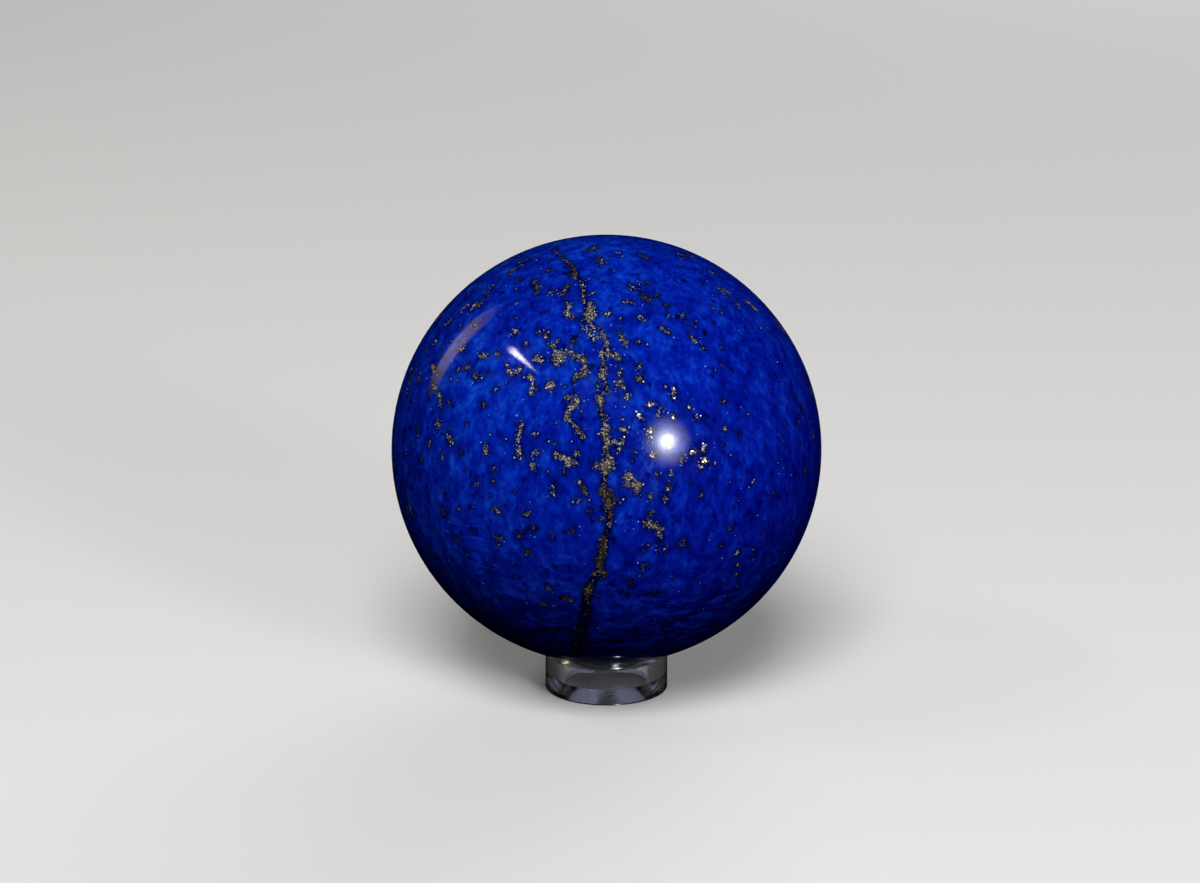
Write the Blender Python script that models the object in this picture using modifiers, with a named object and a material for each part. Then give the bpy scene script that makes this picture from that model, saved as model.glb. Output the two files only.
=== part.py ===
"""A polished lapis lazuli sphere resting on a short clear acrylic ring stand.

Metres, +Z up. The origin is the centre of the ring's underside, and the axis of
the ring and the sphere is +Z. Two pieces, each a solid of its own: the stone
sphere, and the ring that it stands on, with a clearance all round where they
would touch. The sphere is only laid on the ring and lifts straight off.
"""
import math

import bpy

# Stone sphere
SPHERE_DIAMETER = 0.088
SPHERE_SEGMENTS = 72
SPHERE_RINGS = 36

# Ring stand, in section: a thick wall round a bore, with a small bevel where the
# stone sits and a wide flare under the bore that leaves a narrow foot to stand on
BORE_DIAMETER = 0.0172
WALL_THICKNESS = 0.0041
RING_HEIGHT = 0.0078
SEAT_BEVEL = 0.0006
FLARE_HEIGHT = 0.0026
FOOT_WIDTH = 0.0012
EDGE_ROUNDING = 0.0002
EDGE_SEGMENTS = 2
TURN_STEPS = 96

# Clearance kept between the stone and the seat of the ring
SEAT_GAP = 0.0003

# Angle that tells a real edge from the facets of a turned surface
SHARP_ANGLE = math.radians(30)

# The turn's last step is welded to its first, within this share of the edge rounding
WELD_SHARE = 0.05

COLLECTION_NAME = "decorative_sphere"


def clear_scene():
    """Remove whatever objects the file opens with."""
    for old in list(bpy.data.objects):
        bpy.data.objects.remove(old, do_unlink=True)


def make_collection(name):
    collection = bpy.data.collections.new(name)
    bpy.context.scene.collection.children.link(collection)
    return collection


def make_material(name, colour, roughness, metallic=0.0, transmission=0.0, ior=1.5):
    """A plain Principled material with the part's own colour."""
    material = bpy.data.materials.new(name)
    material.use_nodes = True
    shader = material.node_tree.nodes["Principled BSDF"]
    shader.inputs["Base Color"].default_value = (*colour, 1.0)
    shader.inputs["Roughness"].default_value = roughness
    shader.inputs["Metallic"].default_value = metallic
    shader.inputs["Transmission Weight"].default_value = transmission
    shader.inputs["IOR"].default_value = ior
    material.diffuse_color = (*colour, 1.0)
    return material


def ring_profile():
    """The ring's section as (radius, height), down the outside and up the bore."""
    bore = BORE_DIAMETER / 2
    outside = bore + WALL_THICKNESS
    return [
        (bore + SEAT_BEVEL, RING_HEIGHT),
        (outside, RING_HEIGHT),
        (outside, 0.0),
        (outside - FOOT_WIDTH, 0.0),
        (bore, FLARE_HEIGHT),
        (bore, RING_HEIGHT - SEAT_BEVEL),
    ]


def seat_height(profile, radius, gap):
    """Height of the sphere's centre where it clears every corner of the profile by the gap."""
    reach = radius + gap
    return max(height + math.sqrt(reach**2 - corner**2) for corner, height in profile)


def make_ring_stand(collection, profile):
    """Turn the section about +Z, then break its rims."""
    mesh = bpy.data.meshes.new("clear_ring_stand")
    points = [(radius, 0.0, height) for radius, height in profile]
    edges = [(i, (i + 1) % len(points)) for i in range(len(points))]
    mesh.from_pydata(points, edges, [])

    ring = bpy.data.objects.new("clear_ring_stand", mesh)
    collection.objects.link(ring)

    turn = ring.modifiers.new("turn", "SCREW")
    turn.axis = "Z"
    turn.angle = math.tau
    turn.steps = TURN_STEPS
    turn.render_steps = TURN_STEPS
    turn.use_merge_vertices = True
    turn.merge_threshold = EDGE_ROUNDING * WELD_SHARE
    turn.use_smooth_shade = True

    rims = ring.modifiers.new("rims", "BEVEL")
    rims.width = EDGE_ROUNDING
    rims.segments = EDGE_SEGMENTS
    rims.limit_method = "ANGLE"
    rims.angle_limit = SHARP_ANGLE

    acrylic = make_material("clear_acrylic", (0.93, 0.95, 0.97), 0.03, transmission=1.0, ior=1.49)
    mesh.materials.append(acrylic)
    return ring


def make_sphere(collection, centre_height):
    """The stone, centred over the bore."""
    bpy.ops.mesh.primitive_uv_sphere_add(
        segments=SPHERE_SEGMENTS,
        ring_count=SPHERE_RINGS,
        radius=SPHERE_DIAMETER / 2,
        location=(0.0, 0.0, centre_height),
    )
    sphere = bpy.context.object
    sphere.name = "lapis_sphere"
    sphere.data.name = "lapis_sphere"
    for holder in list(sphere.users_collection):
        holder.objects.unlink(sphere)
    collection.objects.link(sphere)
    sphere.data.shade_smooth()

    lapis = make_material("lapis_lazuli", (0.004, 0.016, 0.24), 0.08, ior=1.5)
    sphere.data.materials.append(lapis)
    return sphere


def main():
    clear_scene()
    collection = make_collection(COLLECTION_NAME)
    profile = ring_profile()
    make_ring_stand(collection, profile)
    make_sphere(collection, seat_height(profile, SPHERE_DIAMETER / 2, SEAT_GAP))


main()
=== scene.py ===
"""The looks of a polished lapis lazuli sphere on a clear acrylic ring stand.

Lengths are metres unless a name says otherwise. The stone's pyrite is laid out in
millimetres across and up its disc, as the photograph shows it from the front, with
(0, 0) at the middle of the disc.
"""
import math

import bpy
import numpy as np
from mathutils import Matrix, Vector


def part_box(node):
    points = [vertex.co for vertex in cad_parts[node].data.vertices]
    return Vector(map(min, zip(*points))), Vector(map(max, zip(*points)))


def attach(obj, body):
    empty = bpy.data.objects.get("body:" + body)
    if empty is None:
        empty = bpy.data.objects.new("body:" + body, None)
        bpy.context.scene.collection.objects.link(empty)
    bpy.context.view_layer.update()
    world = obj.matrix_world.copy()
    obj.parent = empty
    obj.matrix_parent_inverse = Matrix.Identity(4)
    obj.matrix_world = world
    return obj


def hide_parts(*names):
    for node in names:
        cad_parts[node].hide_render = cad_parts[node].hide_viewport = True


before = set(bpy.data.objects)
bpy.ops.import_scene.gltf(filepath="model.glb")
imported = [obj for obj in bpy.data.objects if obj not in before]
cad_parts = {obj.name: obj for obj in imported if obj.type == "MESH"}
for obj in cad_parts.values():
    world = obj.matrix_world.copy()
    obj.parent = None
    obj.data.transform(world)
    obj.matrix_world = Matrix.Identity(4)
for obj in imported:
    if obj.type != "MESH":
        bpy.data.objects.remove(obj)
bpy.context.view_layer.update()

MM = 0.001

# What the photograph fixes: its frame, the stone's disc in it, and how far down it looks
PICTURE_PX = (1200, 883)
DISC_CENTRE_PX = (606.5, 449.5)
DISC_RADIUS_PX = 215.0
LENS_MM = 100.0
SENSOR_MM = 36.0
VIEW_TILT = math.radians(15.3)
FOCAL_PX = LENS_MM / SENSOR_MM * PICTURE_PX[0]

# The stone, from the frame
STONE_LOW, STONE_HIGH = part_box("lapis_sphere")
STONE_CENTRE = (STONE_LOW + STONE_HIGH) / 2
STONE_RADIUS = (STONE_HIGH.z - STONE_LOW.z) / 2
STONE_MM = STONE_RADIUS / MM
VIEW_DISTANCE = STONE_RADIUS / math.sin(math.atan(DISC_RADIUS_PX / FOCAL_PX))

# Directions as the camera has them: right, up, and from the stone towards the camera
RIGHT = Vector((1, 0, 0))
UP = Vector((0, math.sin(VIEW_TILT), math.cos(VIEW_TILT)))
TOWARDS = Vector((0, -math.cos(VIEW_TILT), math.sin(VIEW_TILT)))

# The ring stand's section, in millimetres, as the CAD model has it
RING_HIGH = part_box("clear_ring_stand")[1]
RING_RADIUS_MM = RING_HIGH.x / MM
RING_HEIGHT_MM = RING_HIGH.z / MM
BORE_RADIUS_MM = 8.6
SEAT_BEVEL_MM = 0.6
FLARE_HEIGHT_MM = 2.6
FOOT_MM = 1.2
RIM_ROUNDING_MM = 0.2

# Pyrite as the photograph shows it. Each stroke is a run of (across, up, half width) in
# millimetres on the disc. The lists go by how fresh and pale the mineral looks. Some pale
# strokes are pale where they glint, which is partly painted highlight, and the black
# strokes low on the stone are painted shade.
# Pale pyrite; some of these strokes are pale where they glint, as painted highlight
PALE = [
    [(-8.2, 30.2, .3), (-7.6, 29.4, .4)],
    [(-8.1, 28.6, .4), (-8.0, 27.7, .7), (-7.3, 27.4, .5), (-6.6, 27.2, .4)],
    [(-3.3, 29.8, .5), (-3.1, 28.9, .8), (-3.3, 28.2, 1.1), (-3.4, 27.2, .8), (-3.5, 26.5, .5)],
    [(-4.3, 27.9, .5), (-3.3, 27.8, .6)],
    [(-3.1, 25.8, .35), (-2.9, 25.2, .45)],
    [(-3.4, 24.0, .35), (-3.3, 23.3, .4)],
    [(-2.6, 22.4, .35)],
    [(-4.6, 24.8, .35)],
    [(-11.6, 32.2, .3), (-11.1, 32.2, .25)],
    [(0.0, 27.8, .45), (0.3, 28.1, .3)],
    [(2.7, 26.9, .3)],
    [(6.8, 27.1, .5), (7.6, 26.9, .3)],
    [(-14.2, 18.6, .75), (-13.6, 18.0, .3)],
    [(-18.4, 15.8, .5), (-17.8, 16.7, .35)],
    [(-19.6, 15.6, .3), (-20.2, 16.4, .2)],
    [(-15.8, 14.9, .5), (-15.4, 14.3, .3), (-15.1, 13.3, .4), (-15.4, 12.0, .5)],
    [(-11.6, 13.2, .85), (-10.9, 13.5, .4)],
    [(-27.4, 25.8, .35), (-26.8, 25.3, .35)],
    [(-29.5, 20.7, .3), (-30.5, 20.2, .3)],
    [(-35.7, 17.3, .4), (-35.3, 15.8, .45), (-34.4, 15.9, .3)],
    [(-35.5, 13.5, .4), (-34.9, 12.2, .3)],
    [(-17.6, 5.3, .5), (-17.5, 4.0, .4), (-18.1, 2.9, .35), (-18.2, 1.8, .4)],
    [(-18.1, 0.1, .35), (-17.7, -1.1, .55)],
    [(-14.6, 3.3, .3)],
    [(-14.6, -0.6, .65)],
    [(-15.6, -2.8, .4), (-15.1, -3.3, .45), (-14.9, -4.2, .3)],
    [(-24.9, 0.9, .35), (-24.7, 0.0, .5), (-24.8, -0.8, .4)],
    [(-33.7, -1.5, .4)],
    [(-34.7, 5.5, .4), (-34.3, 4.9, .3)],
    [(-7.8, 7.8, .55), (-8.2, 6.7, .6)],
    [(-10.4, -0.7, .45), (-10.3, -1.4, .35)],
    [(-8.9, -1.5, .5), (-8.2, -2.3, .65), (-8.0, -3.0, .4)],
    [(-8.9, -4.5, .3)],
    [(-10.7, 1.2, .3)],
    [(13.6, 12.4, .35), (13.6, 11.5, .4), (13.9, 10.6, .25)],
    [(13.5, 6.8, .5)],
    [(10.8, 8.5, .3)],
    [(8.9, 3.9, .5)],
    [(8.5, 1.9, .25)],
    [(9.5, -1.0, .45)],
    [(17.6, -0.6, .55)],
    [(15.3, -2.1, .35)],
    [(18.4, 6.7, .4)],
    [(6.5, 7.1, .35), (7.2, 6.5, .4)],
    [(5.9, -0.5, .3)],
    [(-0.3, 5.0, .5), (0.1, 4.4, .5)],
    [(15.6, 27.8, .3)],
    [(26.7, -21.1, .5)],
    [(-12.0, -28.4, .35), (-11.6, -28.6, .3)],
    [(0.5, -15.5, .55)],
    [(-5.6, -6.6, .25)],
    [(-6.1, -10.5, .25)],
    [(29.7, -6.9, .25)],
    [(36.0, 2.1, .25)],
    [(-4.2, 40.6, .25)],
    [(2.5, 40.3, .25)],
    [(-22.7, 12.4, .25)],
    [(-26.6, -7.1, .45)],
]
KHAKI = [
    [(-5.0, 34.4, .4), (-4.9, 33.0, .35), (-4.95, 31.9, .35), (-4.8, 31.2, .4), (-4.7, 30.2, .3)],
    [(-3.9, 31.6, .15), (-2.6, 32.2, .2)],
    [(-4.4, 26.8, .3), (-5.2, 26.3, .2)],
    [(-1.6, 24.9, .25), (-1.0, 24.3, .4), (-0.9, 23.7, .6), (-0.3, 23.0, .45), (-0.2, 22.0, .4),
     (0.1, 21.2, .35)],
    [(-0.1, 20.6, .5), (-0.9, 20.2, .4), (-1.0, 19.3, .5), (-0.8, 18.4, .4), (-0.8, 17.5, .3)],
    [(-0.1, 20.2, .6), (0.8, 19.7, .5), (1.8, 19.2, .75), (2.3, 18.8, .6)],
    [(-0.4, 16.6, .4), (-0.8, 15.9, .7), (-1.1, 15.0, .5), (-0.6, 14.6, .35), (-0.3, 13.9, .3)],
    [(0.0, 12.8, .3)],
    [(0.5, 12.0, .4)],
    [(-1.5, 10.9, .75), (-1.4, 10.0, .75), (-1.4, 9.0, .4)],
    [(-11.2, 21.3, .4), (-10.9, 20.6, .4), (-10.2, 19.9, .7), (-9.2, 19.4, .6), (-8.6, 20.0, .5),
     (-7.3, 20.1, .3), (-6.7, 19.5, .5), (-6.8, 18.7, .4)],
    [(-11.0, 18.4, .4), (-10.2, 17.8, .7), (-9.3, 18.3, .4)],
    [(-6.0, 19.0, .3), (-5.2, 18.9, .6), (-4.7, 18.0, .5), (-4.4, 17.2, .4), (-4.2, 16.2, .6),
     (-4.6, 15.7, .8), (-5.6, 15.4, .5), (-6.4, 14.6, .5)],
    [(-6.8, 22.1, .5)],
    [(-10.1, 22.3, .35)],
    [(2.4, 24.4, .35), (2.7, 23.8, .3), (3.1, 23.1, .4), (3.4, 22.4, .5), (3.9, 21.9, .5),
     (3.8, 21.4, .35)],
    [(4.7, 33.5, .2), (5.3, 33.3, .3), (6.0, 33.1, .2)],
    [(3.4, 30.2, .25), (4.8, 30.3, .3), (5.6, 30.1, .2)],
    [(6.5, 22.2, .45)],
    [(6.5, 17.4, .5), (6.6, 16.7, .35)],
    [(6.8, 14.4, .65)],
    [(2.5, 15.9, .35)],
    [(2.7, 13.7, .7), (2.2, 13.5, .5), (3.1, 13.0, .35)],
    [(4.4, 11.6, .5), (4.0, 10.6, .45)],
    [(9.0, 9.3, .55)],
    [(-2.0, 13.2, .35)],
    [(-8.3, 10.5, .35), (-7.6, 10.7, .5), (-7.0, 10.9, .8), (-6.4, 10.5, .6), (-6.2, 9.7, .55),
     (-6.8, 9.0, .55)],
    [(-7.4, 5.8, .3), (-6.3, 4.8, .35), (-5.8, 3.9, .5), (-5.0, 2.9, .5)],
    [(-0.4, 6.2, .4), (-0.3, 5.0, .5), (0.1, 4.4, .5), (-0.3, 3.6, .7), (-0.2, 2.6, .6),
     (0.0, 1.6, .65), (-0.3, 0.8, .45), (-0.6, 0.0, .2)],
    [(0.6, 1.5, .45), (1.4, 1.4, .5), (2.3, 1.4, .3), (3.2, 1.4, .45), (3.3, 2.2, .3)],
    [(2.6, -0.1, .35)],
    [(2.9, 4.2, .3), (3.5, 4.1, .35)],
    [(0.2, 0.0, .2), (0.2, -1.0, .45), (0.1, -2.0, .85), (0.6, -3.2, 1.0)],
    [(-0.5, -3.0, .9), (-0.4, -4.4, .8), (-0.6, -5.0, .4)],
    [(-1.1, -3.1, .6), (-1.9, -3.2, .75), (-2.4, -3.5, .4)],
    [(4.4, -5.9, .9), (4.6, -5.3, .6), (4.3, -6.9, .6)],
    [(5.2, -7.1, .4), (6.0, -6.8, .6), (6.6, -7.3, .7), (6.1, -8.2, .7)],
    [(-7.3, -2.4, .5), (-6.4, -2.8, .3)],
    [(-6.1, -0.6, .4)],
    [(-12.4, 23.2, .5)],
    [(-13.8, 24.3, .45)],
    [(-16.4, 21.5, .4)],
    [(-18.7, 24.3, .55)],
    [(-25.9, 19.2, .4), (-24.8, 19.3, .35)],
    [(-22.3, 19.6, .5)],
    [(-30.3, 16.5, .3)],
    [(-29.0, 16.7, .35), (-28.2, 16.9, .35)],
    [(-27.1, 15.4, .4), (-26.5, 14.6, .35)],
    [(-34.4, 11.6, .3), (-34.0, 10.6, .35), (-34.1, 9.6, .3), (-33.8, 8.4, .3)],
    [(-32.2, 9.6, .35)],
    [(-32.8, 2.8, .35), (-32.3, 2.8, .4), (-31.9, 2.0, .5), (-31.6, 1.4, .3)],
    [(-36.3, 1.7, .35), (-36.4, 1.0, .3)],
    [(-35.0, 22.2, .45)],
    [(-23.0, -12.0, .3), (-22.2, -12.4, .5), (-21.9, -12.9, .4)],
    [(-16.2, -13.0, .45), (-16.8, -13.2, .35)],
    [(-11.1, -7.4, .25), (-10.6, -7.7, .25)],
    [(-11.0, -9.0, .4)],
    [(-22.6, -18.0, .35), (-21.9, -18.2, .45)],
    [(-11.0, -17.7, .35)],
    [(11.2, 25.0, .4), (12.1, 24.3, .35), (12.8, 23.9, .25)],
    [(17.3, 23.1, .4), (18.1, 22.4, .45)],
    [(12.6, 27.5, .3)],
    [(15.5, 27.1, .4)],
    [(24.2, 4.3, .5)],
    [(16.7, 8.9, .3)],
    [(10.7, 6.9, .3)],
    [(19.8, 0.4, .55)],
    [(19.9, -2.2, .65), (19.5, -3.3, .4)],
    [(13.1, -4.9, .4)],
    [(10.2, -4.9, .3)],
    [(9.0, -9.4, .5)],
    [(19.3, -9.2, .4)],
    [(8.6, -15.0, 1.0), (10.0, -15.6, .65), (10.7, -16.6, .6), (11.4, -16.1, .3)],
    [(11.3, -18.0, .3)],
    [(11.8, -20.2, .4)],
    [(26.5, -25.4, .3)],
]
OLIVE = [
    [(-10.9, 41.0, .2), (-9.3, 39.6, .2), (-8.0, 38.4, .25), (-7.0, 37.5, .35), (-6.4, 36.0, .45)],
    [(-7.0, 35.6, .6), (-6.6, 35.2, .5)],
    [(-2.9, 41.0, .8), (-2.4, 41.4, .5)],
    [(-1.6, 39.2, .5), (-1.1, 38.3, .5), (-0.9, 37.7, .3)],
    [(6.8, 39.9, .5), (8.2, 39.2, .35)],
    [(-14.9, 34.4, .5), (-14.2, 33.5, .45), (-14.3, 32.1, .4)],
    [(-8.1, 33.6, .3), (-8.7, 32.3, .5), (-9.3, 31.7, .3)],
    [(-18.1, 34.9, .5)],
    [(-28.2, 31.9, .5)],
    [(-26.2, 29.8, .8)],
    [(-11.9, 36.6, .45)],
    [(-38.4, 14.3, .6)],
    [(-38.8, 4.3, .5)],
    [(-38.0, -1.9, .5)],
    [(-25.3, 9.3, .5)],
    [(-30.0, -0.5, .4)],
    [(-23.3, -3.9, .4)],
    [(-23.2, -6.4, .35)],
    [(-15.0, -15.9, .5)],
    [(-17.9, -17.6, .6)],
    [(-16.2, -21.0, .6)],
    [(-30.8, -18.2, .5)],
    [(-1.2, 8.0, .35), (-1.1, 7.0, .35)],
    [(-0.7, -6.4, .4)],
    [(-1.0, -8.2, .6), (-0.3, -8.7, .9), (0.6, -8.8, .8), (0.3, -10.0, .85), (0.4, -11.0, .7),
     (0.9, -11.6, .45)],
    [(2.2, -10.4, .35)],
    [(0.5, -12.8, .6), (0.7, -13.8, .5)],
    [(-1.0, -14.1, .4)],
    [(-0.5, -17.7, .45), (-0.8, -19.0, .65), (-0.8, -20.5, .75), (-1.3, -21.8, .85), (-1.5, -23.2, .7),
     (-1.6, -24.6, .75), (-0.6, -25.6, .6)],
    [(-2.4, -25.3, .4)],
    [(-3.6, -28.2, .9), (-4.0, -29.3, .7), (-4.2, -30.8, .5)],
    [(-5.1, -7.7, .5), (-4.5, -9.0, .5)],
    [(-3.6, -12.4, .45)],
    [(-12.7, -31.5, .6)],
    [(-9.2, -30.2, .35), (-7.4, -30.8, .5)],
    [(17.4, 25.6, .3)],
    [(19.8, 20.9, .35)],
    [(24.1, 9.9, .4)],
    [(12.7, -7.7, .5)],
    [(11.8, -10.2, .5)],
    [(9.0, -12.5, .4)],
    [(7.4, -20.4, .35)],
    [(7.5, -23.7, .5)],
    [(15.4, -19.0, .6)],
    [(34.2, -8.7, .4)],
    [(38.7, 10.6, .4)],
    [(26.8, -23.5, .4)],
    [(25.2, -16.1, .35)],
    [(23.4, -19.7, .35)],
]
RUST = [
    [(7.5, 31.9, .4), (7.8, 31.2, .5), (8.6, 30.4, .35)],
    [(10.1, 31.5, .55)],
    [(12.1, 29.6, .5)],
    [(8.3, 34.2, .5)],
    [(27.1, 3.3, .4)],
    [(-33.9, -11.8, .3), (-33.4, -12.9, .6)],
    [(-7.2, -16.3, .5)],
    [(-24.2, 15.8, .25)],
]
# Pyrite low on the stone painted near black, as painted shade
SHADED_LOW_PYRITE = [
    [(4.8, -27.0, .5)],
    [(4.3, -29.5, .4)],
    [(8.6, -29.6, .3), (10.0, -29.5, .4)],
    [(-4.0, -32.5, .5), (-4.5, -34.0, .4)],
    [(-5.2, -36.2, .5), (-4.9, -37.6, .6)],
    [(-3.0, -35.4, .3)],
    [(-6.6, -38.8, .4)],
]
# The dark seam that the pyrite of the main vein sits in, and other dark patches
SEAM = [
    [(-9.3, 39.6, .15), (-8.0, 38.4, .25), (-6.6, 36.4, .4), (-5.2, 34.4, .35), (-4.9, 32.0, .3),
     (-4.5, 30.0, .35), (-3.3, 27.4, .4), (-3.2, 25.0, .3), (-2.8, 22.6, .2)],
    [(-0.8, 20.0, .2), (-0.9, 17.5, .25), (-0.9, 15.0, .3), (-0.4, 13.0, .3), (-0.8, 11.0, .3),
     (-1.3, 9.0, .35), (-1.1, 7.2, .4), (-0.4, 5.0, .35), (-0.2, 2.0, .35), (-0.4, 0.0, .4),
     (0.1, -2.0, .6), (-0.3, -4.6, .6), (-0.6, -6.6, .5), (-0.3, -8.7, .8), (0.3, -11.0, .7),
     (0.6, -13.8, .6), (0.4, -15.8, .6), (-0.3, -18.0, .8), (-0.8, -20.5, 1.0), (-1.5, -23.2, 1.0),
     (-1.9, -25.5, .9), (-3.2, -27.6, 1.0), (-4.1, -30.5, 1.0), (-4.1, -33.0, 1.2),
     (-4.7, -36.0, 1.4), (-5.4, -39.0, 1.6), (-6.2, -42.0, 1.6)],
    [(-13.6, -36.4, .3), (-11.0, -37.0, .9), (-8.6, -36.6, .8), (-6.4, -37.4, .6)],
    [(-9.4, -39.6, .6), (-7.0, -39.8, .8)],
    [(-0.6, -38.8, .4), (1.8, -39.4, .9), (3.8, -39.0, .3)],
    [(4.8, -36.2, .2), (6.6, -36.7, .6), (8.4, -36.5, .2)],
    [(10.8, -37.0, .2), (12.2, -37.3, .5), (13.8, -37.0, .2)],
    [(1.3, -17.6, .3), (1.3, -18.6, .4)],
    [(6.6, -27.4, .1), (4.6, -28.2, .35), (4.0, -29.8, .2)],
    [(7.9, -29.3, .1), (10.6, -29.4, .3), (12.6, -28.6, .0)],
]
# The lists with their tones, from 1 for fresh and pale, partly painted highlight, to 0 for near black,
# painted shade
TONES = [(1.0, PALE), (0.75, KHAKI), (0.5, OLIVE), (0.25, RUST), (0.0, SHADED_LOW_PYRITE)]

# Round the sides and the back the pyrite is drawn at random. The main vein comes out at
# the back, at this angle round from the front.
BACK_SEED = 11
BACK_STROKES = 520
BACK_VEIN_DEG = 177
SIDE_RANGE_DEG = (62, 298)

# No drawn stroke starts nearer than this to the direction of the camera
FRONT_HALF_ANGLE = math.radians(60)

# How far from a stroke the mesh still carries its depth, and the least square of a run
FIELD_REACH_MM = 3.0
LEAST_SQUARE = 1e-9

# The fine ball: cuts along each edge of its cube, the map's margin, and the share of the
# radius within which two points are one
BALL_CUTS = 128
MAP_MARGIN = 0.004
WELD_SHARE = 1e-6
CUBE_SIDES = [
    ((0, -1, 0), (1, 0, 0), (0, 0, 1)),
    ((1, 0, 0), (0, 1, 0), (0, 0, 1)),
    ((0, 1, 0), (-1, 0, 0), (0, 0, 1)),
    ((-1, 0, 0), (0, -1, 0), (0, 0, 1)),
    ((0, 0, 1), (1, 0, 0), (0, 1, 0)),
    ((0, 0, -1), (1, 0, 0), (0, -1, 0)),
]
RING_STEPS = 360
RIM_STEPS = 4

# Colours of the stone, as linear light
BLUES = [
    (0.35, (0.0003, 0.0030, 0.150)),
    (0.43, (0.0006, 0.0080, 0.260)),
    (0.50, (0.0010, 0.0150, 0.350)),
    (0.57, (0.0020, 0.0330, 0.450)),
    (0.66, (0.0050, 0.0800, 0.620)),
]
# Violet cast for one side, partly painted shade
VIOLET_AND_SIDE_SHADE = (0.80, 0.38, 0.76, 1.0)
# Painted shade, multiplied onto the stone's foot
PAINTED_FOOT_SHADE = (0.40, 0.22, 0.38, 1.0)
PALE_STREAK = (0.0060, 0.0450, 0.780, 1.0)
DARK_STREAK = (0.0003, 0.0012, 0.060, 1.0)
NAVY_SPOT = (0.0002, 0.0006, 0.022, 1.0)
BESIDE_PYRITE = (0.0003, 0.0015, 0.060, 1.0)
HALO = (0.0002, 0.0006, 0.009, 1.0)
# Pale specks painted in as glints, dim and bright
DIM_PAINTED_GLINT = (0.10, 0.16, 0.42, 1.0)
BRIGHT_PAINTED_GLINT = (0.75, 0.82, 0.95, 1.0)

# Pyrite by tone, then what each grain's own shade and hue multiply it by. The brightest grain shades,
# above 1, are painted glints.
BRASS = [
    (0.0, (0.020, 0.021, 0.015)),
    (0.25, (0.200, 0.085, 0.045)),
    (0.50, (0.168, 0.172, 0.085)),
    (0.75, (0.560, 0.510, 0.390)),
    (1.0, (0.830, 0.820, 0.760)),
]
GRAIN_SHADES_AND_GLINTS = [
    (0.0, (0.04, 0.05, 0.05)),
    (0.28, (0.42, 0.48, 0.42)),
    (0.50, (1.04, 0.96, 0.90)),
    (0.75, (1.40, 1.38, 1.32)),
    (1.0, (3.20, 3.20, 3.30)),
]
GRAIN_HUES = [
    (0.0, (1.22, 0.88, 0.90)),
    (0.35, (1.02, 0.98, 1.00)),
    (0.65, (0.98, 1.02, 0.88)),
    (1.0, (0.96, 1.06, 1.35)),
]
GRAIN_GAP = (0.010, 0.009, 0.012, 1.0)

# Gloss of the two pieces
STONE_ROUGHNESS = 0.05
PYRITE_ROUGHNESS = 0.21
PYRITE_METALLIC = 0.70
STONE_IOR = 1.5
ACRYLIC_ROUGHNESS = 0.015
ACRYLIC_IOR = 1.49
ACRYLIC_TINT = (0.97, 0.98, 1.0, 1.0)

# Floor, lamps and room
FLOOR_RADIUS = 1.4
FLOOR_SIDES = 180
FLOOR_GAP = 0.00002
FLOOR_COLOUR = (0.80, 0.79, 0.78, 1.0)
MIRRORED_FLOOR = 0.25
LAMP_DISTANCE = 1.2
FILL_DISTANCE = 2.4
ROOM_COLOUR = (0.92, 0.95, 1.0, 1.0)
ROOM_STRENGTH = 0.03
BACKDROP_STRENGTH = 0.62


# Places on the stone
def on_disc(across, up):
    """Direction from the stone's centre to the place that the photograph shows there."""
    per_mm = DISC_RADIUS_PX / STONE_MM / FOCAL_PX
    ray = Vector((across * per_mm, up * per_mm, -1.0))
    square = ray.length_squared
    inside = VIEW_DISTANCE**2 - square * (VIEW_DISTANCE**2 - STONE_RADIUS**2)
    reach = (VIEW_DISTANCE - math.sqrt(max(inside, 0.0))) / square
    place = RIGHT * (reach * ray.x) + UP * (reach * ray.y) + TOWARDS * (VIEW_DISTANCE - reach)
    return place.normalized()


def laid_out():
    """Every listed stroke as (tone, [(direction, half width)])."""
    for tone, strokes in TONES:
        for stroke in strokes:
            yield tone, [(on_disc(x, y), w) for x, y, w in stroke]


def from_angles(round_deg, up_deg):
    """Direction at an angle round the upright axis, 0 at the front, and an angle up."""
    a, e = math.radians(round_deg), math.radians(up_deg)
    return Vector((math.sin(a) * math.cos(e), -math.cos(a) * math.cos(e), math.sin(e)))


def back_vein(rng):
    """The main vein is a sheet through the stone, so it comes out again up the back."""
    up, top, parts = -66.0, 78.0, 4
    while up < top:
        length = rng.uniform(3.0, 11.0)
        middle = BACK_VEIN_DEG + 5 * math.sin(math.radians(up * 3))
        points = []
        for k in range(parts + 1):
            width = rng.uniform(0.25, 0.85)
            side = middle + rng.normal(0, 0.9)
            points.append((from_angles(side, up + length * k / parts), width))
        yield rng.choice([0.5, 0.75]), points
        up += length + rng.uniform(0.5, 4.0)


def scattered(rng, count):
    """Short strokes and clumps, thickest beside the vein, round the sides and the back."""
    made = 0
    while made < count:
        side = rng.uniform(*SIDE_RANGE_DEG)
        near = math.exp(-((side - BACK_VEIN_DEG) / 38) ** 2)
        if rng.random() > 0.32 + 0.68 * near:
            continue
        up = math.degrees(math.asin(rng.uniform(-0.97, 0.97)))
        width = rng.uniform(0.22, 0.38) + 0.45 * near * rng.random() ** 2
        points = []
        for _ in range(int(rng.integers(1, 4))):
            points.append((from_angles(side, up), width * rng.uniform(0.7, 1.2)))
            side += rng.normal(0, 1.0)
            up += rng.uniform(0.8, 2.0)
        yield rng.choice([0.25, 0.5, 0.75, 1.0], p=[0.05, 0.3, 0.45, 0.2]), points
        made += 1


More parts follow.
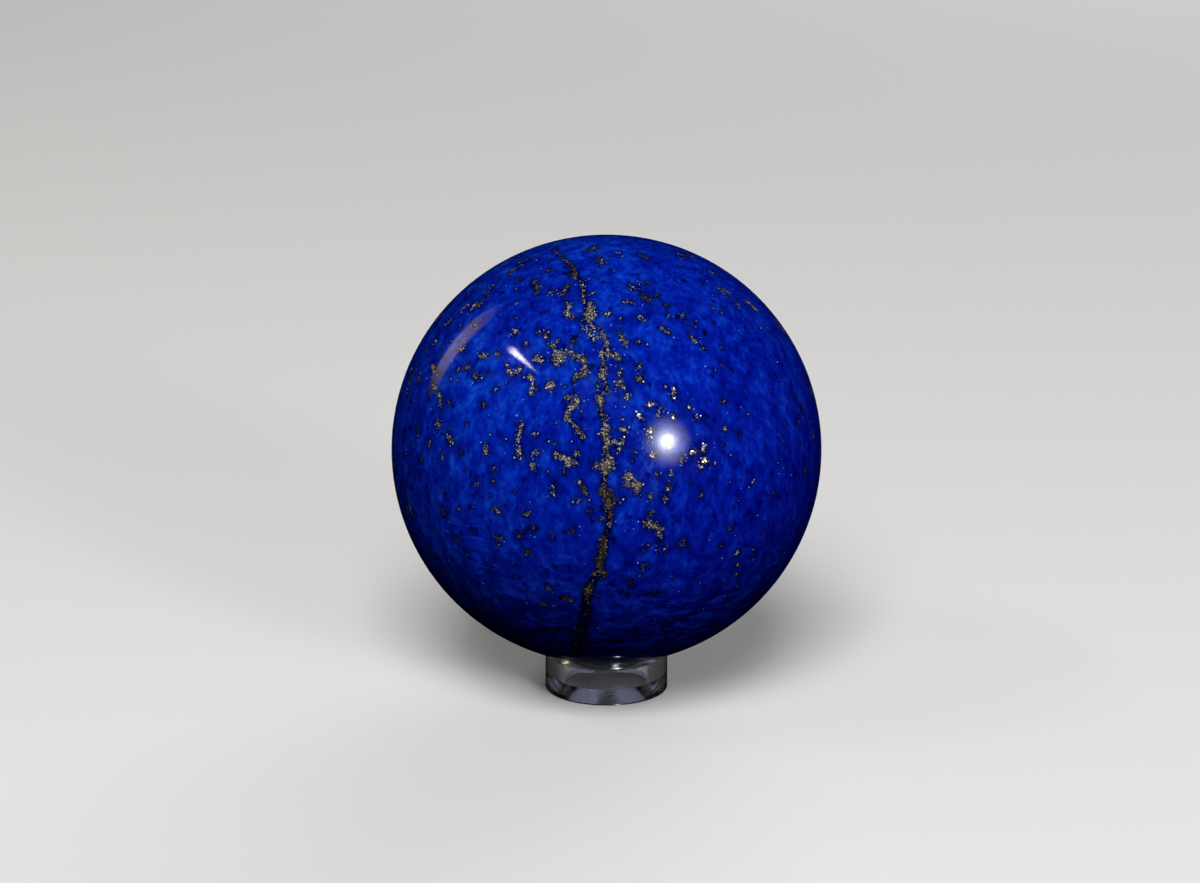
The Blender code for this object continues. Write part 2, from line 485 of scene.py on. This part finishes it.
def all_strokes():
    """Listed strokes in front, and drawn ones where the photograph doesn't reach."""
    rng = np.random.default_rng(BACK_SEED)
    yield from laid_out()
    for source in (back_vein(rng), scattered(rng, BACK_STROKES)):
        for tone, points in source:
            if points[0][0].angle(TOWARDS) > FRONT_HALF_ANGLE:
                yield float(tone), points


def seam_depth(directions):
    """How deep inside the dark seam each direction is, in mm."""
    places = directions * STONE_MM
    depth = np.full(len(places), -FIELD_REACH_MM)
    for stroke in SEAM:
        points = [(np.array(on_disc(x, y)) * STONE_MM, w) for x, y, w in stroke]
        for (a, start_width), (b, end_width) in zip(points, points[1:]):
            run = b - a
            along = np.clip((places - a) @ run / (run @ run), 0, 1)
            width = start_width + along * (end_width - start_width)
            gap = np.linalg.norm(places - (a + along[:, None] * run), axis=1)
            depth = np.maximum(depth, width - gap)
    return depth


def pyrite_fields(directions):
    """What each direction needs to know of the stroke nearest to it, in mm.

    The stroke's nearest point, its half width there, its tone, and how deep inside it
    the direction is. The shader works the shape out again from the nearest point, which
    keeps small grains sharp between the mesh's own points.
    """
    places = directions * STONE_MM
    count = len(places)
    depth = np.full(count, -FIELD_REACH_MM)
    nearest = places.copy()
    half_width = np.zeros(count)
    tone = np.full(count, 0.5)
    for shade, points in all_strokes():
        pairs = list(zip(points, points[1:])) or [(points[0], points[0])]
        for (start, start_width), (end, end_width) in pairs:
            a = np.array(start) * STONE_MM
            run = np.array(end) * STONE_MM - a
            reach = FIELD_REACH_MM + max(start_width, end_width) + np.linalg.norm(run)
            near = np.nonzero(((places - a) ** 2).sum(1) < reach**2)[0]
            along = np.clip((places[near] - a) @ run / max(run @ run, LEAST_SQUARE), 0, 1)
            spot = a + along[:, None] * run
            width = start_width + along * (end_width - start_width)
            here = width - np.linalg.norm(places[near] - spot, axis=1)
            better = here > depth[near]
            taken = near[better]
            depth[taken] = here[better]
            nearest[taken] = spot[better]
            half_width[taken] = width[better]
            tone[taken] = shade
    return nearest, half_width, tone, depth


# Meshes
def ball_mesh(name, radius, centre, cuts):
    """A fine ball of a cube's six faces, cut at equal angles, with a map of six squares."""
    count = cuts + 1
    steps = np.tan(np.linspace(-math.pi / 4, math.pi / 4, count))
    evenly = np.linspace(0, 1, count)
    u, v = np.meshgrid(steps, steps, indexing="ij")
    s, t = np.meshgrid(evenly, evenly, indexing="ij")
    i, j = np.meshgrid(np.arange(cuts), np.arange(cuts), indexing="ij")
    grids, squares, corners = [], [], []
    for k, (out, across, up) in enumerate(CUBE_SIDES):
        grid = np.array(out) + u[..., None] * np.array(across) + v[..., None] * np.array(up)
        grids.append((grid / np.linalg.norm(grid, axis=2, keepdims=True)).reshape(-1, 3))
        left, low = k % 3 / 3, k // 3 / 2
        map_s = left + MAP_MARGIN + s * (1 / 3 - 2 * MAP_MARGIN)
        map_t = low + MAP_MARGIN + t * (1 / 2 - 2 * MAP_MARGIN)
        squares.append(np.stack([map_s, map_t], axis=2).reshape(-1, 2))
        first = k * count * count + i * count + j
        quad = [first, first + count, first + count + 1, first + 1]
        corners.append(np.stack(quad, axis=2).reshape(-1, 4))
    points = np.concatenate(grids)
    flat = np.concatenate(squares)
    faces = np.concatenate(corners)
    keys = np.round(points / WELD_SHARE).astype(np.int64)
    _, firsts, which = np.unique(keys, axis=0, return_index=True, return_inverse=True)
    welded = which.reshape(-1)[faces]
    directions = points[firsts]

    mesh = bpy.data.meshes.new(name)
    mesh.from_pydata((directions * radius + np.array(centre)).tolist(), [], welded.tolist())
    uv = mesh.uv_layers.new(name="OFBake")
    uv.data.foreach_set("uv", flat[faces.reshape(-1)].astype(np.float32).reshape(-1))
    mesh.shade_smooth()
    mesh.normals_split_custom_set_from_vertices(directions.tolist())
    return mesh, directions


def rounded_section(corners, radius, steps):
    """The points of a closed section with its corners rounded, and the normal at each."""
    points, normals = [], []
    count = len(corners)
    for k in range(count):
        here = Vector(corners[k])
        before = (here - Vector(corners[k - 1])).normalized()
        after = (Vector(corners[(k + 1) % count]) - here).normalized()
        turn = before.angle_signed(after)
        out_before = Vector((-before.y, before.x))
        set_back = radius * math.tan(abs(turn) / 2)
        start = here - before * set_back
        sign = math.copysign(1.0, turn)
        centre = start - out_before * radius * sign
        for s in range(steps + 1):
            angle = -turn * s / steps
            normal = Vector((
                out_before.x * math.cos(angle) - out_before.y * math.sin(angle),
                out_before.x * math.sin(angle) + out_before.y * math.cos(angle),
            ))
            points.append(centre + normal * radius * sign)
            normals.append(normal)
    return points, normals


def swept(pairs, steps):
    """Pairs of (radius, height) turned about +Z, one full set of them at each step."""
    angles = np.linspace(0, math.tau, steps, endpoint=False)
    x = np.cos(angles)[:, None] * pairs[None, :, 0]
    y = np.sin(angles)[:, None] * pairs[None, :, 0]
    z = np.repeat(pairs[None, :, 1], steps, axis=0)
    return np.stack([x, y, z], axis=2).reshape(-1, 3)


def turned_mesh(name, points, normals, steps):
    """The closed section turned about +Z, with the section's own normals."""
    section = np.array([tuple(p) for p in points])
    facing = np.array([tuple(n) for n in normals])
    count = len(section)
    i, j = np.meshgrid(np.arange(steps), np.arange(count), indexing="ij")
    i2, j2 = (i + 1) % steps, (j + 1) % count
    quad = [i * count + j, i * count + j2, i2 * count + j2, i2 * count + j]
    faces = np.stack(quad, axis=2).reshape(-1, 4)
    mesh = bpy.data.meshes.new(name)
    mesh.from_pydata((swept(section, steps) * MM).tolist(), [], faces.tolist())
    mesh.shade_smooth()
    mesh.normals_split_custom_set_from_vertices(swept(facing, steps).tolist())
    return mesh


def add_object(name, mesh):
    thing = bpy.data.objects.new(name, mesh)
    bpy.context.scene.collection.objects.link(thing)
    return thing


def add_field(mesh, name, values):
    kind, key = ("FLOAT_VECTOR", "vector") if values.ndim == 2 else ("FLOAT", "value")
    field = mesh.attributes.new(name, kind, "POINT")
    field.data.foreach_set(key, values.astype(np.float32).reshape(-1))


# Node building
class Nodes:
    """Short ways to add and join the nodes of one material, light or world."""

    def __init__(self, owner):
        owner.use_nodes = True
        self.tree = owner.node_tree
        shaders = ("Principled BSDF", "Emission", "Background")
        self.shader = next(self.tree.nodes[name] for name in shaders if name in self.tree.nodes)

    def feed(self, socket, value):
        if isinstance(value, bpy.types.NodeSocket):
            self.tree.links.new(value, socket)
        else:
            socket.default_value = value

    def set(self, **values):
        """Join values to the shader's sockets, or set them there."""
        for key, value in values.items():
            self.feed(self.shader.inputs[key.replace("_", " ")], value)

    def add(self, kind, settings=None, **inputs):
        node = self.tree.nodes.new(kind)
        for key, value in (settings or {}).items():
            setattr(node, key, value)
        for key, value in inputs.items():
            self.feed(node.inputs[key.replace("_", " ")], value)
        return node

    def math(self, operation, *values):
        node = self.add("ShaderNodeMath", {"operation": operation})
        for socket, value in zip(node.inputs, values):
            self.feed(socket, value)
        return node.outputs[0]

    def plus(self, first, *others):
        for value in others:
            first = self.math("ADD", first, value)
        return first

    def times(self, first, *others):
        for value in others:
            first = self.math("MULTIPLY", first, value)
        return first

    def minus(self, first, second):
        return self.math("SUBTRACT", first, second)

    def larger(self, first, second):
        return self.math("MAXIMUM", first, second)

    def centred(self, value):
        """A number from 0 to 1 moved to lie round 0."""
        return self.minus(value, 0.5)

    def vector(self, operation, *values, out=0):
        node = self.add("ShaderNodeVectorMath", {"operation": operation})
        for socket, value in zip(node.inputs, values):
            self.feed(socket, value)
        return node.outputs[out]

    def scaled(self, vector, factor):
        node = self.add("ShaderNodeVectorMath", {"operation": "SCALE"})
        self.feed(node.inputs[0], vector)
        self.feed(node.inputs["Scale"], factor)
        return node.outputs[0]

    def place_mm(self):
        """The place on the object, in mm."""
        return self.scaled(self.add("ShaderNodeTexCoord").outputs["Object"], 1 / MM)

    def step(self, value, low, high):
        """0 below low, 1 above high, smooth between."""
        node = self.add("ShaderNodeMapRange", {"interpolation_type": "SMOOTHSTEP"})
        for key, number in (("Value", value), ("From Min", low), ("From Max", high)):
            self.feed(node.inputs[key], number)
        return node.outputs[0]

    def between(self, value, low, high, to_low, to_high):
        """Straight from to_low at low to to_high at high, and level beyond."""
        node = self.add("ShaderNodeMapRange")
        for socket, number in zip(node.inputs, (value, low, high, to_low, to_high)):
            self.feed(socket, number)
        return node.outputs[0]

    def noise(self, vector, scale, detail=2.0, roughness=0.5, distortion=0.0):
        node = self.add("ShaderNodeTexNoise", None, Vector=vector, Scale=scale, Detail=detail,
                        Roughness=roughness, Distortion=distortion)
        return node.outputs["Fac"]

    def cells(self, vector, scale):
        return self.add("ShaderNodeTexVoronoi", None, Vector=vector, Scale=scale)

    def blend(self, share, below, above, mode="MIX"):
        node = self.add("ShaderNodeMix", {"data_type": "RGBA", "blend_type": mode})
        self.feed(node.inputs[0], share)
        self.feed(node.inputs[6], below)
        self.feed(node.inputs[7], above)
        return node.outputs[2]

    def ramp(self, value, stops):
        node = self.add("ShaderNodeValToRGB", None, Fac=value)
        band = node.color_ramp
        for k, (place, colour) in enumerate(stops):
            element = band.elements[k] if k < 2 else band.elements.new(place)
            element.position = place
            element.color = (*colour, 1.0)
        return node.outputs["Color"]

    def bump(self, height):
        """The normal of a surface raised by a height in metres."""
        node = self.add("ShaderNodeBump", None, Strength=1.0, Distance=1.0, Height=height)
        return node.outputs["Normal"]

    def field(self, name, output="Fac"):
        return self.add("ShaderNodeAttribute", {"attribute_name": name}).outputs[output]

    def split(self, colour):
        return self.add("ShaderNodeSeparateColor", None, Color=colour).outputs

    def split_xyz(self, vector):
        return self.add("ShaderNodeSeparateXYZ", None, Vector=vector).outputs


# The stone's material, part by part
def blue_clouds(n, tall):
    """Clouds of blue in three sizes, and the numbers of the two larger."""
    broad = n.noise(tall, 0.07, 2.0, 0.5)
    cloud = n.noise(tall, 0.38, 3.0, 0.5, 0.3)
    mottle = n.noise(tall, 1.0, 3.0, 0.6, 0.1)
    blue = n.plus(n.times(broad, 0.24), n.times(cloud, 0.44), n.times(mottle, 0.32))
    return n.ramp(blue, BLUES), broad, cloud


def violet_and_shaded_side(n, colour, mm, broad):
    """The stone turns from cobalt at one side to a violet ultramarine at the other, and the same cast
    darkens that side as painted shade.
    """
    way = RIGHT * 0.8 - UP * 0.6
    across = n.vector("DOT_PRODUCT", mm, tuple(way), out=1)
    across = n.minus(across, STONE_CENTRE.dot(way) / MM)
    # the violet cast is partly painted shade that darkens this side
    violet = n.between(n.plus(across, n.times(broad, 24.0)), -8.0, 44.0, 0.0, 1.0)
    return n.blend(violet, colour, VIOLET_AND_SIDE_SHADE, "MULTIPLY")


def level_streaks_and_shaded_foot(n, colour, mm, low, broad, cloud):
    """Low on the stone, pale and dark streaks that run level, and painted shade that darkens the stone
    towards its foot.
    """
    wave = n.noise(n.vector("MULTIPLY", mm, (0.5, 0.5, 1.6)), 0.42, 2.0, 0.55, 0.9)
    reach = n.step(n.plus(low, n.times(broad, 60.0)), 22.0, 2.0)
    pale = n.times(n.step(wave, 0.50, 0.66), reach, 0.80)
    dark = n.times(n.step(wave, 0.47, 0.36), reach, 0.60)
    colour = n.blend(pale, colour, PALE_STREAK)
    colour = n.blend(dark, colour, DARK_STREAK)
    # painted shade: the stone's colour is darkened towards its foot
    foot = n.between(n.plus(low, n.times(cloud, 18.0)), 0.0, -25.0, 0.0, 1.0)
    return n.blend(foot, colour, PAINTED_FOOT_SHADE, "MULTIPLY")


def navy_spots(n, colour, mm, tall):
    """Soft dark spots, bent out of round."""
    bend = n.add("ShaderNodeTexNoise", None, Vector=mm, Scale=1.2).outputs["Color"]
    spots = n.cells(n.vector("ADD", tall, n.scaled(bend, 1.8)), 0.55)
    chance = n.split(spots.outputs["Color"])[0]
    radius = n.between(chance, 0.60, 1.0, -0.2, 0.36)
    inside = n.minus(radius, spots.outputs["Distance"])
    return n.blend(n.times(n.step(inside, -0.20, 0.16), 0.88), colour, NAVY_SPOT)


def pyrite_depth(n, mm):
    """Depth inside the pyrite in mm, broken up into grains and plain, and a number per lump."""
    width = n.field("pyrite_width")
    exact = n.minus(width, n.vector("DISTANCE", mm, n.field("pyrite_spot", "Vector"), out=1))
    guard = n.plus(n.field("pyrite_depth"), 0.30)
    depth = n.math("MINIMUM", exact, guard)

    lump = n.split(n.cells(mm, 1.7).outputs["Color"])
    fine = n.split(n.cells(mm, 3.9).outputs["Color"])
    ragged = n.plus(
        n.times(n.centred(n.noise(mm, 1.1, 3.0, 0.65)), 1.2),
        n.times(n.centred(lump[0]), 0.40),
        n.times(n.centred(fine[0]), 0.50),
    )
    ragged = n.times(ragged, n.between(width, 0.15, 0.6, 0.45, 1.0))
    stray = n.times(n.math("POWER", fine[1], 12.0), 0.75)
    pit = n.times(n.math("POWER", fine[2], 6.0), -1.0)
    return n.plus(depth, ragged, stray, pit), depth, lump[1]


def seam_share(n, mm, low):
    """The dark seam, its edge crumbling more and more towards the stone's foot."""
    crumble = n.centred(n.noise(mm, 0.8, 5.0, 0.75))
    crumble = n.times(crumble, n.between(low, -18.0, -30.0, 1.8, 7.0))
    return n.step(n.plus(n.field("seam_depth"), crumble), -0.25, 0.20)


def loose_grains(n, mm):
    """Small grains all over, the dark that lies round some of them, and a number per grain."""
    seeds = n.cells(mm, 0.62)
    pick = n.split(seeds.outputs["Color"])
    wobble = n.times(n.centred(n.noise(mm, 3.0, 1.0)), 0.25)
    radius = n.between(pick[0], 0.74, 1.0, 0.02, 0.19)
    inside = n.plus(n.minus(radius, seeds.outputs["Distance"]), wobble)
    around = n.times(n.step(inside, -0.40, -0.02), n.step(pick[0], 0.80, 0.88))
    return n.step(inside, -0.01, 0.02), around, pick[1]


def painted_glint_specks(n, colour, mm, depth):
    """Pale specks painted in as glints, more of them beside the pyrite."""
    points = n.cells(mm, 1.15)
    luck = n.split(points.outputs["Color"])
    beside = n.step(depth, -2.9, -0.9)
    rare = n.minus(n.plus(luck[0], n.times(beside, 0.10)), 0.86)
    size = n.math("MINIMUM", n.times(rare, 0.9), 0.11)
    inside = n.step(n.minus(size, points.outputs["Distance"]), -0.02, 0.03)
    share = n.times(inside, n.step(rare, 0.0, 0.02))
    # painted glints: pale specks in the base colour
    return n.blend(share, colour, n.blend(luck[1], DIM_PAINTED_GLINT, BRIGHT_PAINTED_GLINT))


def brass_colour(n, tone, grains):
    """The pyrite's colour by its tone, each grain with its own shade and hue, dark between. The
    brightest grains are painted glints.
    """
    tint = n.split(grains.outputs["Color"])
    brass = n.blend(1.0, n.ramp(tone, BRASS), n.ramp(tint[1], GRAIN_SHADES_AND_GLINTS), "MULTIPLY")
    brass = n.blend(1.0, brass, n.ramp(tint[2], GRAIN_HUES), "MULTIPLY")
    gap = n.between(grains.outputs["Distance"], 0.30, 0.62, 0.0, 0.75)
    return n.blend(gap, brass, GRAIN_GAP)


def polish_height(n, mm, grains, metal):
    """Height in metres: each grain of pyrite tilted its own way, faint wear and tiny pits."""
    offset = n.vector("SUBTRACT", mm, grains.outputs["Position"])
    lean = n.vector("SUBTRACT", grains.outputs["Color"], (0.5, 0.5, 0.5))
    facet = n.times(n.vector("DOT_PRODUCT", offset, lean, out=1), metal, 0.42 * MM)
    wear = n.times(n.noise(mm, 0.9, 2.0, 0.5), 0.002 * MM)
    fine_wear = n.times(n.noise(mm, 3.4, 2.0, 0.6), 0.0024 * MM)
    pits = n.cells(mm, 2.8)
    chosen = n.step(n.split(pits.outputs["Color"])[0], 0.10, 0.80)
    dent = n.times(n.step(pits.outputs["Distance"], 0.30, 0.04), chosen, -0.020 * MM)
    return n.plus(facet, dent, wear, fine_wear)


def lapis_material():
    """Clouded ultramarine with brassy pyrite in dark halos, under one high polish."""
    material = bpy.data.materials.new("lapis_lazuli")
    n = Nodes(material)
    mm = n.place_mm()
    tall = n.vector("MULTIPLY", mm, (1.0, 1.0, 0.72))
    low = n.minus(n.split_xyz(mm)[2], STONE_CENTRE.z / MM)

    colour, broad, cloud = blue_clouds(n, tall)
    colour = violet_and_shaded_side(n, colour, mm, broad)
    colour = level_streaks_and_shaded_foot(n, colour, mm, low, broad, cloud)
    colour = navy_spots(n, colour, mm, tall)

    edge, depth, lot = pyrite_depth(n, mm)
    speck, around, luck = loose_grains(n, mm)
    metal = n.larger(n.step(edge, 0.06, 0.12), speck)
    tone = n.plus(n.field("pyrite_tone"), n.times(n.centred(lot), 0.40))
    tone = n.larger(tone, n.times(speck, luck))

    colour = n.blend(n.times(n.step(depth, -1.7, -0.3), 0.40), colour, BESIDE_PYRITE)
    halo = n.larger(n.step(edge, -0.48, -0.06), n.times(seam_share(n, mm, low), 0.97))
    halo = n.larger(halo, n.times(around, 0.75))
    colour = n.blend(n.times(halo, 0.94), colour, HALO)
    # pale specks painted in as glints
    colour = painted_glint_specks(n, colour, mm, depth)

    grains = n.cells(mm, 3.6)
    colour = n.blend(metal, colour, brass_colour(n, tone, grains))
    n.set(
        Base_Color=colour,
        Metallic=n.times(metal, PYRITE_METALLIC),
        Roughness=n.between(metal, 0.0, 1.0, STONE_ROUGHNESS, PYRITE_ROUGHNESS),
        IOR=STONE_IOR,
        Normal=n.bump(polish_height(n, mm, grains, metal)),
    )
    return material


def acrylic_material():
    """Water-clear moulded acrylic, faintly rubbed, and uneven at the seat under the stone."""
    material = bpy.data.materials.new("clear_acrylic")
    n = Nodes(material)
    mm = n.place_mm()
    scuff = n.noise(n.vector("MULTIPLY", mm, (1.0, 1.0, 0.35)), 1.6, 4.0, 0.65)
    swirl = n.noise(n.vector("MULTIPLY", mm, (1.0, 1.0, 0.5)), 1.5, 3.0, 0.6)
    seat = n.step(n.split_xyz(mm)[2], RING_HEIGHT_MM - 1.0, RING_HEIGHT_MM - 0.3)
    height = n.plus(n.times(scuff, 0.006 * MM), n.times(swirl, seat, 0.05 * MM))
    n.set(
        Base_Color=ACRYLIC_TINT,
        Roughness=ACRYLIC_ROUGHNESS,
        IOR=ACRYLIC_IOR,
        Transmission_Weight=1.0,
        Normal=n.bump(height),
    )
    return material


def floor_material():
    """Pale and matt, but black in the stone's polish and dim in reflections inside the ring."""
    material = bpy.data.materials.new("pale_floor")
    n = Nodes(material)
    path = n.add("ShaderNodeLightPath").outputs
    mirrored = n.math("MINIMUM", path["Glossy Depth"], 1.0)
    through = n.math("MINIMUM", path["Transmission Depth"], 1.0)
    through = n.times(through, n.between(mirrored, 0.0, 1.0, 1.0, MIRRORED_FLOOR))
    seen = n.larger(n.minus(1.0, mirrored), through)
    colour = n.blend(seen, (0.0, 0.0, 0.0, 1.0), FLOOR_COLOUR)
    n.set(Base_Color=colour, Roughness=1.0, Specular_IOR_Level=0.0)
    return material


# The two pieces
def make_stone():
    mesh, directions = ball_mesh("lapis_stone", STONE_RADIUS, STONE_CENTRE, BALL_CUTS)
    nearest, half_width, tone, depth = pyrite_fields(directions)
    add_field(mesh, "pyrite_spot", nearest + np.array(STONE_CENTRE) / MM)
    add_field(mesh, "pyrite_width", half_width)
    add_field(mesh, "pyrite_tone", tone)
    add_field(mesh, "pyrite_depth", depth)
    add_field(mesh, "seam_depth", seam_depth(directions))
    stone = add_object("lapis_stone", mesh)
    mesh.materials.append(lapis_material())
    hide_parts("lapis_sphere")
    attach(stone, "root")


def make_ring():
    corners = [
        (BORE_RADIUS_MM + SEAT_BEVEL_MM, RING_HEIGHT_MM),
        (RING_RADIUS_MM, RING_HEIGHT_MM),
        (RING_RADIUS_MM, 0.0),
        (RING_RADIUS_MM - FOOT_MM, 0.0),
        (BORE_RADIUS_MM, FLARE_HEIGHT_MM),
        (BORE_RADIUS_MM, RING_HEIGHT_MM - SEAT_BEVEL_MM),
    ]
    points, normals = rounded_section(corners, RIM_ROUNDING_MM, RIM_STEPS)
    mesh = turned_mesh("acrylic_ring", points, normals, RING_STEPS)
    ring = add_object("acrylic_ring", mesh)
    mesh.materials.append(acrylic_material())
    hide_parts("clear_ring_stand")
    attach(ring, "root")


# Floor, lights and camera
def make_floor():
    """A round floor, a hair under the ring, that throws no light back at the object."""
    turns = [math.tau * k / FLOOR_SIDES for k in range(FLOOR_SIDES)]
    rim = [(FLOOR_RADIUS * math.cos(turn), FLOOR_RADIUS * math.sin(turn), 0) for turn in turns]
    mesh = bpy.data.meshes.new("floor")
    mesh.from_pydata(rim, [], [range(FLOOR_SIDES)])
    floor = add_object("floor", mesh)
    floor.location.z = -FLOOR_GAP
    floor.visible_diffuse = False
    mesh.materials.append(floor_material())


def area_light(name, middle, turn, size, power, colour=(1, 1, 1), mirrored=True, shape="ELLIPSE"):
    """A lamp that shines along its own -Z. One that isn't mirrored doesn't show in the ring."""
    data = bpy.data.lights.new(name, "AREA")
    data.shape = shape
    data.size, data.size_y = size
    data.energy = power
    data.color = colour
    light = bpy.data.objects.new(name, data)
    bpy.context.scene.collection.objects.link(light)
    light.location = middle
    light.rotation_mode = "QUATERNION"
    light.rotation_quaternion = turn
    light.visible_glossy = mirrored
    light.visible_transmission = mirrored
    return light


def seen_in(across, up):
    """Where the camera's view goes when the stone mirrors it at that place on its disc."""
    normal = on_disc(across, up)
    return normal * (2 * normal.dot(TOWARDS)) - TOWARDS


def add_lamp(name, out, distance=LAMP_DISTANCE, **more):
    """A light that faces the stone from the direction given."""
    out = out.normalized()
    turn = out.to_track_quat("Z", "Y")
    return area_light(name, STONE_CENTRE + out * distance, turn, **more)


def add_fill(name, out, **more):
    """A large lamp further off, which the stone's polish doesn't mirror."""
    return add_lamp(name, out, distance=FILL_DISTANCE, mirrored=False, shape="RECTANGLE", **more)


def add_strip(name, start, end, width, **more):
    """A long light whose two ends the stone mirrors at two places on its disc."""
    first = seen_in(*start) * LAMP_DISTANCE
    last = seen_in(*end) * LAMP_DISTANCE
    middle = (first + last) / 2
    length = (last - first).length
    along = (last - first).normalized()
    side = along.cross(middle).normalized()
    turn = Matrix((side, along, side.cross(along))).transposed().to_quaternion()
    return area_light(name, STONE_CENTRE + middle, turn, size=(width, length), **more)


def bright_middle(light, core):
    """Brightness that falls away from a core, which is a share of the light's width."""
    n = Nodes(light.data)
    place = n.add("ShaderNodeNewGeometry").outputs["Parametric"]
    out = n.vector("DISTANCE", n.vector("MULTIPLY", place, (1, 1, 0)), (0.5, 0.5, 0.0), out=1)
    fall = n.plus(n.math("POWER", n.math("DIVIDE", out, core / 2), 2.0), 1.0)
    fade = n.step(out, 0.5, 0.32)
    n.set(Strength=n.times(n.math("POWER", fall, -1.65), fade))


def across_and_along(n):
    """How far a place on a light is from its middle line, and how far along, as shares."""
    place = n.split_xyz(n.add("ShaderNodeNewGeometry").outputs["Parametric"])
    return n.math("ABSOLUTE", n.centred(place[0])), place[1]


def pointed_end(light):
    """A light pointed at both ends, that starts faint and is bright from its widest place on."""
    n = Nodes(light.data)
    side, along = across_and_along(n)
    widening = n.between(along, 0.0, 0.34, 0.0, 0.42)
    narrowing = n.between(along, 0.3, 1.0, 0.42, 0.03)
    taper = n.math("MINIMUM", widening, narrowing)
    inside = n.step(n.minus(taper, side), 0.0, 0.16)
    n.set(Strength=n.times(inside, n.step(along, 0.16, 0.44)))


def faint_ends(light):
    """A light that is soft along both sides and fades out towards both ends."""
    n = Nodes(light.data)
    side, along = across_and_along(n)
    fade = n.times(n.step(along, 0.0, 0.45), n.step(along, 1.0, 0.45))
    n.set(Strength=n.times(n.step(side, 0.5, 0.25), fade))


def make_lights():
    """Three lamps that the polish mirrors, two wide fills, and one that only the ring shows."""
    key = add_lamp("key", seen_in(12.6, 1.7), size=(0.62, 0.62), power=52.0, colour=(0.96, 1, 1))
    bright_middle(key, core=0.27)
    crescent = add_strip("soft_strip", start=(-36.9, 9.8), end=(-20.6, 30.0), width=0.25,
                         power=0.78, colour=(1.0, 0.84, 0.42))
    faint_ends(crescent)
    streak = add_strip("streak", start=(-21.8, 22.4), end=(-14.2, 15.8), width=0.084,
                       power=4.4, colour=(1.0, 0.95, 1.0), shape="RECTANGLE")
    pointed_end(streak)
    front = RIGHT * -0.06 + UP * 0.50 + TOWARDS * 0.86
    add_fill("fill", front, size=(1.1, 1.1), power=54.0)
    add_fill("back_fill", Vector((0.35, 0.86, 0.40)), size=(1.8, 1.2), power=22.0)
    glow = add_fill("ring_glow", Vector((0.30, 0.88, 0.36)), size=(3.4, 0.9), power=1.5,
                    colour=(0.60, 0.62, 1.0))
    glow.visible_transmission = True
    glow.visible_diffuse = False


def make_world():
    """A dim room that the camera sees as a pale backdrop."""
    world = bpy.data.worlds.new("studio")
    bpy.context.scene.world = world
    n = Nodes(world)
    direct = n.add("ShaderNodeLightPath").outputs["Is Camera Ray"]
    strength = n.between(direct, 0.0, 1.0, ROOM_STRENGTH, BACKDROP_STRENGTH)
    n.set(Color=ROOM_COLOUR, Strength=strength)
    world.cycles_visibility.glossy = False


def make_camera():
    data = bpy.data.cameras.new("camera")
    data.lens = LENS_MM
    data.sensor_width = SENSOR_MM
    camera = bpy.data.objects.new("camera", data)
    bpy.context.scene.collection.objects.link(camera)
    per_px = VIEW_DISTANCE / FOCAL_PX
    right = (PICTURE_PX[0] / 2 - DISC_CENTRE_PX[0]) * per_px
    up = (DISC_CENTRE_PX[1] - PICTURE_PX[1] / 2) * per_px
    camera.location = STONE_CENTRE + TOWARDS * VIEW_DISTANCE + RIGHT * right + UP * up
    camera.rotation_mode = "QUATERNION"
    camera.rotation_quaternion = TOWARDS.to_track_quat("Z", "Y")
    bpy.context.scene.camera = camera


make_camera()
make_floor()
make_lights()
make_world()
make_stone()
make_ring()
bpy.context.scene.view_settings.view_transform = "Standard"
